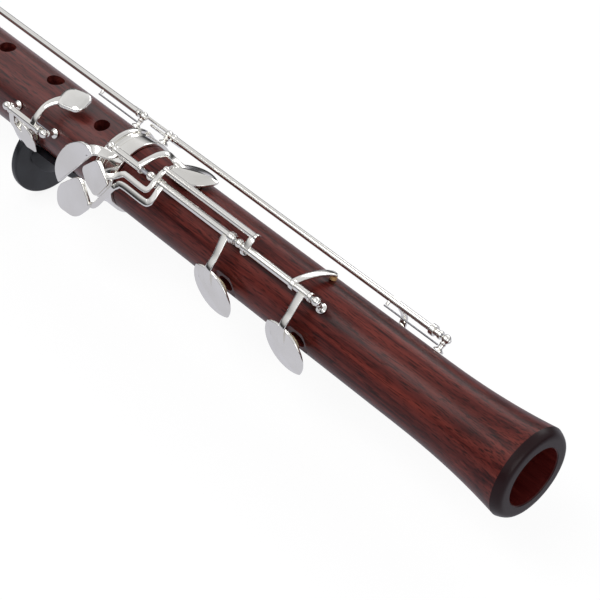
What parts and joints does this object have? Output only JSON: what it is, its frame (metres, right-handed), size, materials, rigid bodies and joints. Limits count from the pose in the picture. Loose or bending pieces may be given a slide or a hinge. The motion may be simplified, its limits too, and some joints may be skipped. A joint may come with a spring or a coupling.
{
  "type": "tenor recorder",
  "caption": "Tenor recorder in turned rosewood, in three joints with silver-plated rings, hinged keys with leather pads, and a black thumb rest.",
  "frame": {"origin": "centre of the bell end, on the bore's axis", "axes": "+X along the bore towards the bell, +Z towards the finger holes, -Y towards the player's right hand side"},
  "size_m": [0.775, 0.061, 0.0764],
  "materials": {
    "rosewood": "oiled gloss",
    "silver_plate": "polished",
    "steel": "satin",
    "cork": "matt cork",
    "leather": "matt",
    "cedar": "matt",
    "plastic": "gloss"
  },
  "bodies": {
    "body": {"middle_joint": "rosewood", "lower_tenon_cork": "cork", "upper_tenon_cork": "cork", "thumb_rest": "plastic", "thumb_rest_screw_1": "steel", "thumb_rest_screw_2": "steel", "foot_joint": "rosewood", "foot_ring": "silver_plate", "post_foot_1": "silver_plate", "post_foot_2": "silver_plate", "post_foot_3": "silver_plate", "post_foot_4": "silver_plate", "post_sharp_1": "silver_plate", "post_sharp_2": "silver_plate", "post_long_1": "silver_plate", "post_long_2": "silver_plate", "post_lever_1": "silver_plate", "post_lever_2": "silver_plate", "rod_sharp": "steel", "rod_d_sharp": "steel", "rod_low_c": "steel", "rod_low_b": "steel", "rod_long": "steel", "rod_lever": "steel", "spring_sharp": "steel", "spring_d_sharp": "steel", "spring_low_c": "steel", "spring_low_b": "steel", "spring_long": "steel", "spring_lever": "steel", "low_b_stop_cork": "cork"},
    "head": {"head_joint": "rosewood", "head_ring": "silver_plate", "block": "cedar"},
    "g_sharp": {"g_sharp_key": "silver_plate", "g_sharp_pad": "leather"},
    "d_sharp": {"d_sharp_key": "silver_plate", "d_sharp_pad": "leather"},
    "low_c": {"low_c_key": "silver_plate", "low_c_pad": "leather"},
    "low_b": {"low_b_key": "silver_plate", "low_b_pad": "leather"},
    "long_foot": {"long_foot_key": "silver_plate", "long_foot_pad": "leather"},
    "lever": {"left_hand_lever": "silver_plate"}
  },
  "joints": [
    {"name": "head_slide", "type": "slide", "parent": "body", "child": "head", "axis": [1, 0, 0], "range_m": [-0.004, 0]},
    {"name": "g_sharp_turn", "type": "hinge", "parent": "body", "child": "g_sharp", "pos_m": [-0.3075, -0.02326, 0.00916], "axis": [1, 0, 0], "range_deg": [-8, 0], "stiffness_Nm_per_rad": 0.03, "springref_deg": 22.92},
    {"name": "d_sharp_turn", "type": "hinge", "parent": "body", "child": "d_sharp", "pos_m": [-0.242, -0.01398, 0.02073], "axis": [1, 0, 0], "range_deg": [0, 8], "stiffness_Nm_per_rad": 0.03, "springref_deg": -22.92},
    {"name": "low_c_turn", "type": "hinge", "parent": "body", "child": "low_c", "pos_m": [-0.194, -0.01398, 0.02073], "axis": [1, 0, 0], "range_deg": [0, 8.5], "stiffness_Nm_per_rad": 0.03, "springref_deg": -22.92},
    {"name": "low_b_turn", "type": "hinge", "parent": "body", "child": "low_b", "pos_m": [-0.142, -0.01398, 0.02073], "axis": [1, 0, 0], "range_deg": [0, 8.5], "stiffness_Nm_per_rad": 0.03, "springref_deg": -22.92},
    {"name": "long_foot_turn", "type": "hinge", "parent": "body", "child": "long_foot", "pos_m": [-0.16, 0.01755, 0.01637], "axis": [1, 0, 0], "range_deg": [-8.5, 0], "stiffness_Nm_per_rad": 0.03, "springref_deg": 22.92},
    {"name": "lever_turn", "type": "hinge", "parent": "body", "child": "lever", "pos_m": [-0.356, 0.01755, 0.01637], "axis": [1, 0, 0], "range_deg": [-8.5, 0], "stiffness_Nm_per_rad": 0.03, "springref_deg": 22.92}
  ],
  "couplings": [
    {"joint": "lever_turn", "follows": "long_foot_turn", "ratio": 1}
  ]
}
